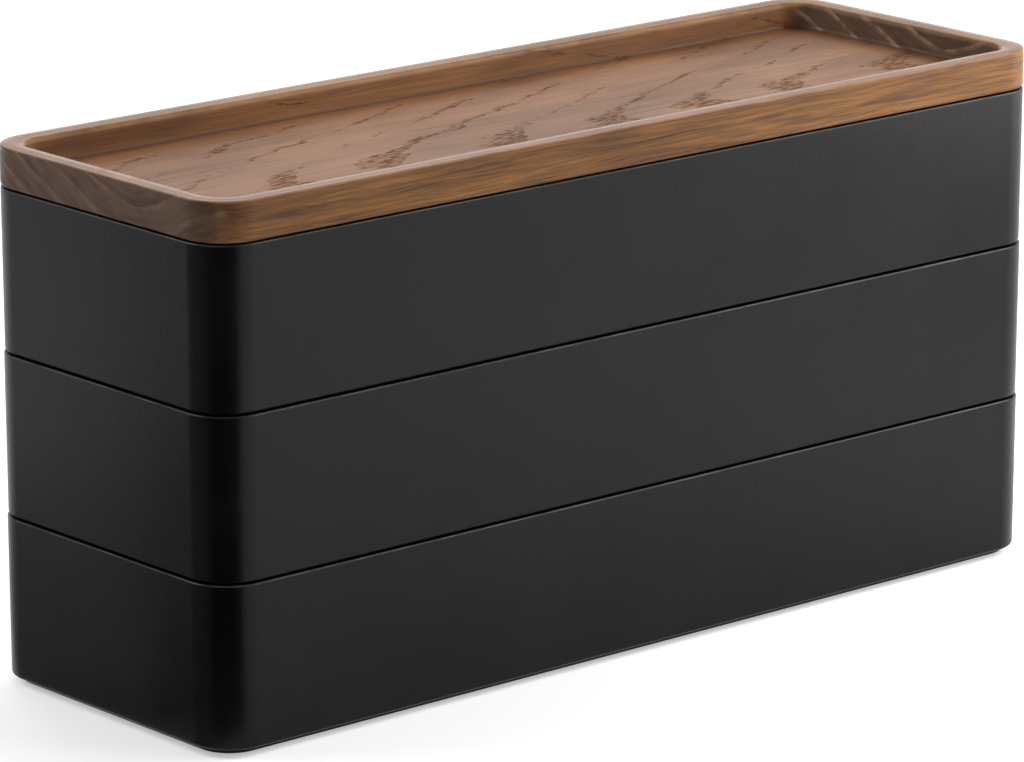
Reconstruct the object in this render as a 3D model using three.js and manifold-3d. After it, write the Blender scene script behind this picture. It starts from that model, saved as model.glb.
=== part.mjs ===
// Stacking jewelry box: three moulded trays nest one on another under a lid routed from solid wood,
// which is a shallow tray itself. Felt lines the trays, foam rolls hold rings, and L-shaped dividers
// slide along the trays.
// Units are millimetres, +Z is up, X runs along the length. The origin is the middle of the
// footprint, on the plane that the foot pads stand on.
import * as THREE from "three";
import { mergeVertices } from "three/addons/utils/BufferGeometryUtils.js";
import Module from "manifold-3d";

// Outline shared by the trays and the lid
const BOX_LENGTH = 245;
const BOX_WIDTH = 82;
const CORNER_RADIUS = 10.4;
const CORNER_STEPS = 10;

// How the pieces stack
const TRAY_PITCH = 37; // from one tray to the next
const FOOT_HEIGHT = 1.4; // step under a tray that drops into the rim below
const SEAT_GAP = 0.3; // shadow line between stacked pieces
const NEST_CLEARANCE = 0.4; // between a step and the rim around it, on each side
const FIT_CLEARANCE = 0.3; // between a piece and what it lies on or stands beside
const SLIDE_CLEARANCE = 0.4; // between a divider and the tray's walls, on each side

// Tray moulding
const TRAY_WALL = 2.2;
const TRAY_FLOOR = 2;
const WALL_DRAFT = 0.22; // how far a wall leans in from its rim to its lower edge
const TRAY_RIM_RADIUS = 0.4;
const TRAY_LOWER_EDGE_RADIUS = 0.8;
const FOOT_EDGE_RADIUS = 0.5;
const FLOOR_COVE_RADIUS = 2;
const EDGE_STEPS = 2;
const COVE_STEPS = 3;

// Wooden lid
const LID_HEIGHT = 9.2; // what shows above the upper tray
const LID_PLUG_HEIGHT = 3; // rebated part that drops into the tray
const LID_RIM = 5.3; // width of the rim around the recess, rounded edges included
const RECESS_DEPTH = 6.2;
const RECESS_CORNER_RADIUS = 6.2;
const RECESS_WALL_LEAN = 0.4;
const RECESS_COVE_RADIUS = 1;
const LID_OUTER_EDGE_RADIUS = 0.8;
const LID_INNER_EDGE_RADIUS = 1.5;
const LID_LOWER_EDGE_RADIUS = 0.5;
const PLUG_EDGE_RADIUS = 0.6;
const LID_EDGE_STEPS = 3;

// Felt lining
const LINING_THICKNESS = 1.2;

// Ring rolls
const ROLL_COUNT = 6;
const ROLL_WIDTH = 15;
const ROLL_FOOT_WIDTH = 11; // flat underside
const ROLL_END_ROUND = 2.4;
const ROLL_SPACING = 0.4; // between one roll and the next
const ROLL_CORNER_CLEARANCE = 0.6; // between the end roll and the tray's round corners
const RING_HEADROOM = 13.6; // above the rolls, for the rings that stand between them
const ROLL_STEPS = 5;

// Sliding dividers
const DIVIDER_HEADROOM = 6.2; // above a divider, up to the next tray
const DIVIDER_THICKNESS = 2;
const DIVIDER_FLANGE = 12; // foot of the L, plate included
const DIVIDER_FLANGE_THICKNESS = 1.4;
const DIVIDER_INNER_RADIUS = 1.5;
const DIVIDER_STEPS = 6;
const UPPER_COMPARTMENTS = 2; // beside the rings
const MIDDLE_COMPARTMENTS = 4;
const LOWER_COMPARTMENTS = 2;

// Foot pads
const PAD_RADIUS = 4.5;
const PAD_PROUD = 0.4; // stands out below the tray
const PAD_SOCKET_DEPTH = 0.8;
const PAD_TAPER = 0.4;
const PAD_INSET_LENGTH = 22; // from the end of the box to a pad's centre
const PAD_INSET_WIDTH = 17; // from the side of the box to a pad's centre
const PAD_SIDES = 24;

// Sizes that follow from those above
const FOOT_INSET = TRAY_WALL + NEST_CLEARANCE;
const RIM_Z = TRAY_PITCH + FOOT_HEIGHT - SEAT_GAP;
const CAVITY_LENGTH = BOX_LENGTH - 2 * (TRAY_WALL + WALL_DRAFT);
const CAVITY_WIDTH = BOX_WIDTH - 2 * (TRAY_WALL + WALL_DRAFT);
const LINING_TOP = TRAY_FLOOR + FIT_CLEARANCE + LINING_THICKNESS;
const STAND_Z = LINING_TOP + FIT_CLEARANCE; // where rolls and dividers stand
const CAVITY_CORNER_RADIUS = CORNER_RADIUS - TRAY_WALL - WALL_DRAFT;
const ROLL_END_SPACE = CAVITY_CORNER_RADIUS - (CAVITY_CORNER_RADIUS - ROLL_CORNER_CLEARANCE) / Math.SQRT2;
const ROLL_HEIGHT = TRAY_PITCH + FOOT_HEIGHT - LID_PLUG_HEIGHT - STAND_Z - RING_HEADROOM;
const DIVIDER_HEIGHT = TRAY_PITCH - STAND_Z - DIVIDER_HEADROOM;

const wasm = await Module();
wasm.setup();

const blackPlastic = new THREE.MeshStandardMaterial({ color: 0x1c1c1d, roughness: 0.5, metalness: 0 });
const stainedWood = new THREE.MeshStandardMaterial({ color: 0x7d5539, roughness: 0.45, metalness: 0 });
const greyFelt = new THREE.MeshStandardMaterial({ color: 0x4a4a4c, roughness: 0.95, metalness: 0 });
const greySuede = new THREE.MeshStandardMaterial({ color: 0x56565a, roughness: 0.9, metalness: 0 });
const darkSilicone = new THREE.MeshStandardMaterial({ color: 0x2a2a2b, roughness: 0.8, metalness: 0 });

// Points of a rounded rectangle, counter-clockwise seen from above.
function roundedRectangle(length, width, radius, z) {
  const corners = [
    [1, 1, 0],
    [-1, 1, 90],
    [-1, -1, 180],
    [1, -1, 270],
  ];
  const points = [];
  for (const [sideX, sideY, startAngle] of corners) {
    const centreX = sideX * (length / 2 - radius);
    const centreY = sideY * (width / 2 - radius);
    for (let i = 0; i <= CORNER_STEPS; i++) {
      const angle = THREE.MathUtils.degToRad(startAngle + (90 * i) / CORNER_STEPS);
      const x = centreX + radius * Math.cos(angle);
      const y = centreY + radius * Math.sin(angle);
      points.push(new THREE.Vector3(x, y, z));
    }
  }
  return points;
}

// The box's outline drawn in by inset, with its corners drawn in alike.
function outlineAt([inset, z]) {
  return roundedRectangle(BOX_LENGTH - 2 * inset, BOX_WIDTH - 2 * inset, CORNER_RADIUS - inset, z);
}

// The same for the lid's routed recess, whose corners have a radius of their own at the rim.
function recessOutlineAt([inset, z]) {
  const radius = RECESS_CORNER_RADIUS - (inset - LID_RIM);
  return roundedRectangle(BOX_LENGTH - 2 * inset, BOX_WIDTH - 2 * inset, radius, z);
}

// Arc of a profile, as pairs of inset and height. Angle 180 faces out of the box and 90 faces up.
function profileArc(centreInset, centreZ, radius, startAngle, endAngle, steps) {
  const points = [];
  for (let i = 0; i <= steps; i++) {
    const angle = THREE.MathUtils.degToRad(startAngle + ((endAngle - startAngle) * i) / steps);
    points.push([centreInset + radius * Math.cos(angle), centreZ + radius * Math.sin(angle)]);
  }
  return points;
}

// Middle of an outline, for the flat face that closes it.
function middleOf(ring) {
  const sum = new THREE.Vector3();
  for (const point of ring) sum.add(point);
  return sum.divideScalar(ring.length);
}

// Skins a run of outlines, such as a tray's from the underside up the outside and down into the
// hollow, and closes the first and the last one with a flat face.
function skin(rings) {
  const count = rings[0].length;
  const positions = [];
  const addTriangle = (a, b, c) => positions.push(...a.toArray(), ...b.toArray(), ...c.toArray());
  const first = rings[0];
  const last = rings[rings.length - 1];
  const firstMiddle = middleOf(first);
  const lastMiddle = middleOf(last);
  for (let i = 0; i < count; i++) {
    const j = (i + 1) % count;
    addTriangle(firstMiddle, first[j], first[i]);
    for (let r = 0; r + 1 < rings.length; r++) {
      const lower = rings[r];
      const upper = rings[r + 1];
      addTriangle(lower[i], lower[j], upper[j]);
      addTriangle(lower[i], upper[j], upper[i]);
    }
    addTriangle(lastMiddle, last[i], last[j]);
  }
  const geometry = new THREE.BufferGeometry();
  geometry.setAttribute("position", new THREE.Float32BufferAttribute(positions, 3));
  return geometry;
}

// Boolean cut of one closed geometry by others.
const MERGE_DISTANCE = 1e-4;

function solidFrom(geometry) {
  const bare = geometry.clone();
  bare.deleteAttribute("normal");
  bare.deleteAttribute("uv");
  const merged = mergeVertices(bare, MERGE_DISTANCE);
  const vertProperties = merged.getAttribute("position").array;
  const triVerts = new Uint32Array(merged.index.array);
  return new wasm.Manifold(new wasm.Mesh({ numProp: 3, vertProperties, triVerts }));
}

function cutBy(geometry, cutters) {
  let solid = solidFrom(geometry);
  for (const cutter of cutters) solid = solid.subtract(solidFrom(cutter));
  const mesh = solid.getMesh();
  const cut = new THREE.BufferGeometry();
  cut.setAttribute("position", new THREE.Float32BufferAttribute(mesh.vertProperties, 3));
  cut.setIndex(new THREE.BufferAttribute(new Uint32Array(mesh.triVerts), 1));
  return cut;
}

function namedMesh(name, geometry, material) {
  const flatShaded = geometry.index ? geometry.toNonIndexed() : geometry;
  flatShaded.computeVertexNormals();
  const mesh = new THREE.Mesh(flatShaded, material);
  mesh.name = name;
  return mesh;
}

// One moulded tray: the step under it, the leaning walls, the rim and the coved floor.
function trayGeometry() {
  const lowerInset = WALL_DRAFT;
  const innerInset = TRAY_WALL + WALL_DRAFT;
  const lower = TRAY_LOWER_EDGE_RADIUS;
  const rim = TRAY_RIM_RADIUS;
  const foot = FOOT_EDGE_RADIUS;
  const cove = FLOOR_COVE_RADIUS;
  const profile = [
    ...profileArc(FOOT_INSET + foot, foot, foot, 270, 180, EDGE_STEPS),
    [FOOT_INSET, FOOT_HEIGHT],
    ...profileArc(lowerInset + lower, FOOT_HEIGHT + lower, lower, 270, 180, EDGE_STEPS),
    ...profileArc(rim, RIM_Z - rim, rim, 180, 90, EDGE_STEPS),
    ...profileArc(TRAY_WALL - rim, RIM_Z - rim, rim, 90, 0, EDGE_STEPS),
    ...profileArc(innerInset + cove, TRAY_FLOOR + cove, cove, 180, 270, COVE_STEPS),
  ];
  return skin(profile.map(outlineAt));
}

// Places of the four foot pads on the underside.
function padCentres() {
  const x = BOX_LENGTH / 2 - PAD_INSET_LENGTH;
  const y = BOX_WIDTH / 2 - PAD_INSET_WIDTH;
  return [
    ["front_left", -x, -y],
    ["front_right", x, -y],
    ["back_left", -x, y],
    ["back_right", x, y],
  ];
}

// Upright cylinder from z 0 to its height.
function uprightCylinder(topRadius, bottomRadius, height) {
  const geometry = new THREE.CylinderGeometry(topRadius, bottomRadius, height, PAD_SIDES);
  geometry.rotateX(Math.PI / 2);
  geometry.translate(0, 0, height / 2);
  return geometry;
}

// The lower tray is the same moulding with shallow sockets for the pads.
function lowerTrayGeometry() {
  const socketRadius = PAD_RADIUS + FIT_CLEARANCE;
  const sockets = padCentres().map(([, x, y]) => {
    const socket = uprightCylinder(socketRadius, socketRadius, 2 * PAD_SOCKET_DEPTH);
    socket.translate(x, y, -PAD_SOCKET_DEPTH);
    return socket;
  });
  return cutBy(trayGeometry(), sockets);
}

// Lid: a plug under a rebated shoulder, rounded edges, and a recess with a coved floor.
// Its zero height is the shoulder.
function lidGeometry() {
  const plug = PLUG_EDGE_RADIUS;
  const lower = LID_LOWER_EDGE_RADIUS;
  const outer = LID_OUTER_EDGE_RADIUS;
  const inner = LID_INNER_EDGE_RADIUS;
  const cove = RECESS_COVE_RADIUS;
  const floorZ = LID_HEIGHT - RECESS_DEPTH;
  const wallFootInset = LID_RIM + RECESS_WALL_LEAN;
  const outside = [
    ...profileArc(FOOT_INSET + plug, plug - LID_PLUG_HEIGHT, plug, 270, 180, EDGE_STEPS),
    [FOOT_INSET, 0],
    ...profileArc(lower, lower, lower, 270, 180, EDGE_STEPS),
    ...profileArc(outer, LID_HEIGHT - outer, outer, 180, 90, LID_EDGE_STEPS),
  ];
  const inside = [
    ...profileArc(LID_RIM - inner, LID_HEIGHT - inner, inner, 90, 0, LID_EDGE_STEPS),
    ...profileArc(wallFootInset + cove, floorZ + cove, cove, 180, 270, COVE_STEPS),
  ];
  return skin([...outside.map(outlineAt), ...inside.map(recessOutlineAt)]);
}

// Felt sheet that covers a tray's flat floor inside the cove.
function liningGeometry() {
  const inset = TRAY_WALL + WALL_DRAFT + FLOOR_COVE_RADIUS + FIT_CLEARANCE;
  const bottom = TRAY_FLOOR + FIT_CLEARANCE;
  return skin([
    [inset, bottom],
    [inset, LINING_TOP],
  ].map(outlineAt));
}

// Foam roll that lies across the tray: a flat underside, drawn-in sides, a round crown and round ends.
function ringRollGeometry() {
  const halfWidth = ROLL_WIDTH / 2;
  const halfFoot = ROLL_FOOT_WIDTH / 2;
  const halfHeight = ROLL_HEIGHT / 2;
  const halfLength = CAVITY_WIDTH / 2 - ROLL_END_SPACE;
  const section = new THREE.Shape();
  section.moveTo(-halfFoot, 0);
  section.lineTo(halfFoot, 0);
  section.quadraticCurveTo(halfWidth, 0, halfWidth, halfHeight);
  section.absellipse(0, halfHeight, halfWidth, halfHeight, 0, Math.PI, false, 0);
  section.quadraticCurveTo(-halfWidth, 0, -halfFoot, 0);
  const points = section.getPoints(ROLL_STEPS).slice(0, -1);
  const sectionAt = (drawnIn, place) =>
    points.map(({ x, y }) => {
      const height = halfHeight + ((y - halfHeight) * (halfHeight - drawnIn)) / halfHeight;
      return new THREE.Vector3((x * (halfWidth - drawnIn)) / halfWidth, height, place);
    });
  const endStations = [];
  for (let i = 0; i <= EDGE_STEPS; i++) {
    const angle = ((Math.PI / 2) * i) / EDGE_STEPS;
    const drawnIn = ROLL_END_ROUND * (1 - Math.sin(angle));
    endStations.push([drawnIn, halfLength - ROLL_END_ROUND * (1 - Math.cos(angle))]);
  }
  const geometry = skin([
    ...endStations.map(([drawnIn, place]) => sectionAt(drawnIn, -place)),
    ...endStations.reverse().map(([drawnIn, place]) => sectionAt(drawnIn, place)),
  ]);
  geometry.rotateX(Math.PI / 2);
  return geometry;
}

// How far the floor's cove still reaches in from the wall at a height above the floor.
function coveReach(height) {
  const below = Math.max(FLOOR_COVE_RADIUS - height, 0);
  return FLOOR_COVE_RADIUS - Math.sqrt(FLOOR_COVE_RADIUS ** 2 - below ** 2);
}

// L-shaped divider that spans the tray. Its plate starts at x 0 and its flange points to +X.
function dividerGeometry() {
  const inner = DIVIDER_INNER_RADIUS;
  const crown = DIVIDER_THICKNESS / 2;
  const flangeTop = DIVIDER_FLANGE_THICKNESS;
  const section = new THREE.Shape();
  section.moveTo(0, 0);
  section.lineTo(DIVIDER_FLANGE, 0);
  section.lineTo(DIVIDER_FLANGE, flangeTop);
  section.lineTo(DIVIDER_THICKNESS + inner, flangeTop);
  section.absarc(DIVIDER_THICKNESS + inner, flangeTop + inner, inner, -Math.PI / 2, -Math.PI, true);
  section.lineTo(DIVIDER_THICKNESS, DIVIDER_HEIGHT - crown);
  section.absarc(crown, DIVIDER_HEIGHT - crown, crown, 0, Math.PI, false);
  section.closePath();
  const length = CAVITY_WIDTH - 2 * (coveReach(STAND_Z - TRAY_FLOOR) + SLIDE_CLEARANCE);
  const geometry = new THREE.ExtrudeGeometry(section, {
    depth: length,
    curveSegments: DIVIDER_STEPS,
    bevelEnabled: false,
  });
  geometry.translate(0, 0, -length / 2);
  geometry.rotateX(Math.PI / 2);
  return geometry;
}

// Places where dividers part a stretch of tray into equal compartments.
function dividerPlaces(startX, endX, compartments) {
  const places = [];
  for (let i = 1; i < compartments; i++) {
    places.push(startX + ((endX - startX) * i) / compartments - DIVIDER_THICKNESS / 2);
  }
  return places;
}

function addDividers(tier, prefix, places) {
  places.forEach((x, i) => {
    const divider = namedMesh(`${prefix}_divider_${i + 1}`, dividerGeometry(), blackPlastic);
    divider.position.set(x, 0, STAND_Z);
    tier.add(divider);
  });
}

function addLining(tier, name) {
  tier.add(namedMesh(name, liningGeometry(), greyFelt));
}

// Lower tray, for chains and watches, on its foot pads
function lowerTier() {
  const tier = new THREE.Group();
  tier.add(namedMesh("lower_tray", lowerTrayGeometry(), blackPlastic));
  addLining(tier, "lower_lining");
  addDividers(tier, "lower", dividerPlaces(-CAVITY_LENGTH / 2, CAVITY_LENGTH / 2, LOWER_COMPARTMENTS));
  const padHeight = PAD_PROUD + PAD_SOCKET_DEPTH - FIT_CLEARANCE;
  for (const [place, x, y] of padCentres()) {
    const pad = namedMesh(
      `foot_pad_${place}`,
      uprightCylinder(PAD_RADIUS, PAD_RADIUS - PAD_TAPER, padHeight),
      darkSilicone,
    );
    pad.position.set(x, y, -PAD_PROUD);
    tier.add(pad);
  }
  return tier;
}

// Middle tray, for bracelets and earrings
function middleTier() {
  const tier = new THREE.Group();
  tier.add(namedMesh("middle_tray", trayGeometry(), blackPlastic));
  addLining(tier, "middle_lining");
  addDividers(tier, "middle", dividerPlaces(-CAVITY_LENGTH / 2, CAVITY_LENGTH / 2, MIDDLE_COMPARTMENTS));
  return tier;
}

// Upper tray, with the ring rolls at its left end
function upperTier() {
  const tier = new THREE.Group();
  tier.add(namedMesh("upper_tray", trayGeometry(), blackPlastic));
  addLining(tier, "upper_lining");
  const rollPitch = ROLL_WIDTH + ROLL_SPACING;
  const firstRoll = -CAVITY_LENGTH / 2 + ROLL_END_SPACE + ROLL_WIDTH / 2;
  for (let i = 0; i < ROLL_COUNT; i++) {
    const roll = namedMesh(`ring_roll_${i + 1}`, ringRollGeometry(), greySuede);
    roll.position.set(firstRoll + i * rollPitch, 0, STAND_Z);
    tier.add(roll);
  }
  const bayEnd = firstRoll + (ROLL_COUNT - 1) * rollPitch + ROLL_WIDTH / 2 + ROLL_SPACING;
  const rest = dividerPlaces(bayEnd + DIVIDER_THICKNESS, CAVITY_LENGTH / 2, UPPER_COMPARTMENTS);
  addDividers(tier, "upper", [bayEnd, ...rest]);
  return tier;
}

// Lid, which carries what is laid down at the end of the day
function lidTray() {
  return namedMesh("lid_tray", lidGeometry(), stainedWood);
}

// The stack, from the surface up
const box = new THREE.Group();
const tiers = [lowerTier(), middleTier(), upperTier()];
tiers.forEach((tier, level) => {
  tier.position.z = PAD_PROUD + level * TRAY_PITCH;
  box.add(tier);
});
const lid = lidTray();
lid.position.z = PAD_PROUD + tiers.length * TRAY_PITCH + FOOT_HEIGHT;
box.add(lid);

export default box;
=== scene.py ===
import math

import bpy
from mathutils import Matrix, Vector


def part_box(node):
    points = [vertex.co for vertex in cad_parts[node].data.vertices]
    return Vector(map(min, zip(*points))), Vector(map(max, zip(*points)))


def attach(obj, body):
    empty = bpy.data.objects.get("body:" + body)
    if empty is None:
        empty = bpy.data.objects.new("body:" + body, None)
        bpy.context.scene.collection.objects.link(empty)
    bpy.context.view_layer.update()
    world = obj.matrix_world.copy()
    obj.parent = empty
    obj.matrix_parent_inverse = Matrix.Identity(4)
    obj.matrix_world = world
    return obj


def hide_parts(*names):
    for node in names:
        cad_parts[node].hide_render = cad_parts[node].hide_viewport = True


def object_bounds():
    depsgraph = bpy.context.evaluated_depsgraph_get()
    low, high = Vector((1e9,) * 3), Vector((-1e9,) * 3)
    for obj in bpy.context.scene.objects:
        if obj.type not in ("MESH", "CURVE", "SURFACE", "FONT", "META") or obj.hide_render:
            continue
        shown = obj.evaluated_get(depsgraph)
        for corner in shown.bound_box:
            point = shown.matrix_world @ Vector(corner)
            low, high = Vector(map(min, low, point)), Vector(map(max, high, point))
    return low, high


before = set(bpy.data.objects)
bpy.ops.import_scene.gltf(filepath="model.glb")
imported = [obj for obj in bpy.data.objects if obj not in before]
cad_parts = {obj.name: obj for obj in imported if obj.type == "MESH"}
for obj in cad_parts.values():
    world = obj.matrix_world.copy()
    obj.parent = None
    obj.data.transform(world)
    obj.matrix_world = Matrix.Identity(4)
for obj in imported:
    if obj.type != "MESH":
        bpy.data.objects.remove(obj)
cad_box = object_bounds()

# Foot pads
# Four discs of dark silicone, moulded with a soft lower edge and pressed into round sockets under the
# lowest tray. They stand a little proud, so the box grips the table and doesn't scratch it.
MM = 0.001
PAD_PLACES = ("front_left", "front_right", "back_left", "back_right")
PAD_TAPER = 0.4 * MM
PAD_EDGE_RADIUS = 0.3 * MM
PAD_SIDES = 48
PAD_ROUGHNESS = (0.62, 0.78)
PAD_GRAIN_SCALE = 1800.0
PAD_GRAIN_DEPTH = 0.03 * MM
PAD_COLOUR = (0.030, 0.030, 0.031, 1)
PAD_DUST = (0.062, 0.060, 0.057, 1)
PATCH_SCALE = 45.0
SHARP_ANGLE = 50  # edges that turn by more degrees than this stay sharp


def feed(tree, socket, value):
    """Links a socket to another one, or sets its value."""
    if isinstance(value, bpy.types.NodeSocket):
        tree.links.new(value, socket)
    else:
        socket.default_value = value


def add_node(tree, kind, inputs=None, **settings):
    """A shader node with its settings, and with its inputs fed by name or number."""
    made = tree.nodes.new(kind)
    for name, value in settings.items():
        setattr(made, name, value)
    for name, value in (inputs or {}).items():
        feed(tree, made.inputs[name], value)
    return made


def calc(tree, operation, *values):
    """Result of a calculation with sockets or plain numbers."""
    inputs = dict(enumerate(values))
    return add_node(tree, "ShaderNodeMath", inputs, operation=operation).outputs[0]


def spread(tree, value, low, high, to_low=0.0, to_high=1.0):
    """A value that goes smoothly from to_low to to_high as another one goes from low to high."""
    inputs = {"Value": value, "From Min": low, "From Max": high, "To Min": to_low, "To Max": to_high}
    made = add_node(tree, "ShaderNodeMapRange", inputs, interpolation_type="SMOOTHSTEP")
    return made.outputs["Result"]


def mixed(tree, share, first, second):
    """A colour between two others."""
    made = add_node(tree, "ShaderNodeMix", {0: share, 6: first, 7: second}, data_type="RGBA")
    return made.outputs[2]


def own_place(tree):
    """Places on the piece itself, in metres, which stay with it when it moves."""
    return tree.nodes.new("ShaderNodeTexCoord").outputs["Object"]


def stretched(tree, place, factors):
    """Places multiplied along X, Y and Z."""
    made = add_node(tree, "ShaderNodeVectorMath", {0: place, 1: factors}, operation="MULTIPLY")
    return made.outputs["Vector"]


def noise(tree, place, scale, detail=2.0, roughness=0.5):
    """Soft random value between about 0.2 and 0.8."""
    inputs = {"Vector": place, "Scale": scale, "Detail": detail, "Roughness": roughness}
    return add_node(tree, "ShaderNodeTexNoise", inputs).outputs["Fac"]


def new_group(name, inputs, outputs):
    """An empty node group with named values in and out."""
    group = bpy.data.node_groups.new(name, "ShaderNodeTree")
    for socket_name, start in inputs.items():
        socket = group.interface.new_socket(socket_name, in_out="INPUT", socket_type="NodeSocketFloat")
        socket.default_value = start
    for socket_name in outputs:
        group.interface.new_socket(socket_name, in_out="OUTPUT", socket_type="NodeSocketFloat")
    return group, group.nodes.new("NodeGroupInput").outputs, group.nodes.new("NodeGroupOutput").inputs


def place_group(tree, group, **inputs):
    """A node group placed in a material with its own values."""
    made = tree.nodes.new("ShaderNodeGroup")
    made.node_tree = group
    for name, value in inputs.items():
        feed(tree, made.inputs[name.replace("_", " ")], value)
    return made.outputs


def moulding_grain():
    """Grain that a blasted mould leaves on plastic and rubber, with faint cloudy patches."""
    inputs = {"Grain scale": PAD_GRAIN_SCALE}
    group, given, result = new_group("moulding grain", inputs, ("Height", "Patches"))
    place = own_place(group)
    patches = noise(group, place, PATCH_SCALE, detail=4.0, roughness=0.65)
    feed(group, result["Height"], noise(group, place, given["Grain scale"], detail=1.0))
    feed(group, result["Patches"], spread(group, patches, 0.3, 0.7))
    return group


def new_material(name):
    """A material, its node tree and its shader."""
    material = bpy.data.materials.new(name)
    material.use_nodes = True
    return material, material.node_tree, material.node_tree.nodes["Principled BSDF"]


def raise_surface(tree, shader, height, depth, strength=1.0):
    """Bumps a surface by a height between 0 and 1, which stands for a real depth."""
    inputs = {"Height": height, "Distance": depth, "Strength": strength}
    feed(tree, shader.inputs["Normal"], add_node(tree, "ShaderNodeBump", inputs).outputs["Normal"])


GRAIN = moulding_grain()


def silicone():
    material, tree, shader = new_material("dark silicone")
    grain = place_group(tree, GRAIN, Grain_scale=PAD_GRAIN_SCALE)
    feed(tree, shader.inputs["Base Color"], mixed(tree, grain["Patches"], PAD_COLOUR, PAD_DUST))
    feed(tree, shader.inputs["Roughness"], spread(tree, grain["Patches"], 0.0, 1.0, *PAD_ROUGHNESS))
    raise_surface(tree, shader, grain["Height"], PAD_GRAIN_DEPTH)
    return material


def skinned(name, rings, material, wear=None):
    """A closed piece through a run of outlines, with a flat face on the first and the last one.
    wear gives each outline's share of the polish that hands and stacking leave, which also carries a
    painted highlight."""
    count = len(rings[0])
    last = (len(rings) - 1) * count
    faces = [tuple(reversed(range(count)))]
    for start in range(0, last, count):
        for i in range(count):
            j = (i + 1) % count
            faces.append((start + i, start + j, start + count + j, start + count + i))
    faces.append(tuple(range(last, last + count)))
    mesh = bpy.data.meshes.new(name)
    mesh.from_pydata([point for ring in rings for point in ring], [], faces)
    if wear:
        polish_and_highlight = mesh.attributes.new("wear", "FLOAT", "POINT")
        polish_and_highlight.data.foreach_set("value", [share for share in wear for _ in range(count)])
    return finished(name, mesh, material)


def finished(name, mesh, material):
    """A mesh as a smooth piece of the scene, with its sharp edges kept."""
    mesh.validate()
    mesh.shade_smooth()
    mesh.set_sharp_from_angle(angle=math.radians(SHARP_ANGLE))
    mesh.materials.append(material)
    piece = bpy.data.objects.new(name, mesh)
    bpy.context.scene.collection.objects.link(piece)
    even = piece.modifiers.new("even shading", "WEIGHTED_NORMAL")
    even.keep_sharp = True
    return piece


def arc(centre, radius, start, end, steps):
    """Points of an arc in a flat section, with angles in degrees."""
    points = []
    for i in range(steps + 1):
        angle = math.radians(start + (end - start) * i / steps)
        points.append((centre[0] + radius * math.cos(angle), centre[1] + radius * math.sin(angle)))
    return points


def circle(centre, radius, z, sides):
    """Points of a level circle, counter-clockwise seen from above."""
    turns = [math.tau * i / sides for i in range(sides)]
    return [(centre.x + radius * math.cos(a), centre.y + radius * math.sin(a), z) for a in turns]


def foot_pad(node, material):
    low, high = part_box(node)
    centre = (low + high) / 2
    top_radius = (high.x - low.x) / 2
    edge_centre = (top_radius - PAD_TAPER - PAD_EDGE_RADIUS, low.z + PAD_EDGE_RADIUS)
    profile = arc(edge_centre, PAD_EDGE_RADIUS, -90, 0, 5) + [(top_radius, high.z)]
    rings = [circle(centre, radius, z, PAD_SIDES) for radius, z in profile]
    pad = skinned(node + "_disc", rings, material)
    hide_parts(node)
    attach(pad, "lower")


pad_material = silicone()
for place_name in PAD_PLACES:
    foot_pad("foot_pad_" + place_name, pad_material)

# Trays
# Three equal mouldings of black plastic with a fine satin grain. Each has leaning walls, a thin rounded
# rim, a coved floor and a step underneath, which drops into the rim of the tray below.
CORNER_RADIUS = 10.4 * MM
CORNER_STEPS = 18
TRAY_WALL = 2.2 * MM
TRAY_FLOOR = 2 * MM
WALL_DRAFT = 0.22 * MM
STEP_HEIGHT = 1.4 * MM
STEP_INSET = 2.6 * MM
RIM_RADIUS = 0.4 * MM
LOWER_EDGE_RADIUS = 0.8 * MM
STEP_EDGE_RADIUS = 0.5 * MM
FLOOR_COVE_RADIUS = 2 * MM
PAD_SOCKET_GAP = 0.3 * MM
TRAY_TIERS = ("lower", "middle", "upper")
PLASTIC_GLOSS = 0.15
PLASTIC_ROUGHNESS = (0.29, 0.35)
PLASTIC_GRAIN_SCALE = 1300.0
PLASTIC_GRAIN_DEPTH = 0.025 * MM
RUB_PATCH_SCALE = 110.0
RUBBED_AND_HIGHLIGHT_SHARE = 0.8
RUBBED_SMOOTHER = -0.08  # change of roughness on a rubbed edge
TRAY_BLACK = (0.0030, 0.0030, 0.0031, 1)
TRAY_BLOOM = (0.0048, 0.0048, 0.0050, 1)
# Colour of worn edges, made paler than wear alone would make it, as a painted highlight
TRAY_POLISH_AND_HIGHLIGHT = (0.075, 0.076, 0.078, 1)


def rounded_outline(length, width, radius, z):
    """Points of a rounded rectangle about the box's middle, counter-clockwise seen from above."""
    points = []
    for side_x, side_y, start in ((1, 1, 0), (-1, 1, 90), (-1, -1, 180), (1, -1, 270)):
        centre = (side_x * (length / 2 - radius), side_y * (width / 2 - radius))
        points += [(x, y, z) for x, y in arc(centre, radius, start, start + 90, CORNER_STEPS)]
    return points


def edge_wear(profile_arc):
    """Polish and painted highlight across a rounded edge, fullest half way round."""
    steps = len(profile_arc) - 1
    return [math.sin(math.pi * i / steps) for i in range(steps + 1)]


def no_wear(points):
    return [0.0] * len(points)


def edge_polish_and_highlight():
    """Patchy polish and painted highlight where an edge is handled, from the piece's own share of wear."""
    group, given, result = new_group("edge polish and painted highlight", {"Amount": 1.0}, ("Mask",))
    wear = add_node(group, "ShaderNodeAttribute", attribute_name="wear").outputs["Fac"]
    patches = noise(group, own_place(group), RUB_PATCH_SCALE, detail=3.0)
    rubbed_and_highlight = calc(group, "MULTIPLY", wear, spread(group, patches, 0.35, 0.65, 0.25, 1.0))
    feed(group, result["Mask"], calc(group, "MULTIPLY", rubbed_and_highlight, given["Amount"]))
    return group


EDGE_POLISH_AND_HIGHLIGHT = edge_polish_and_highlight()


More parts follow.
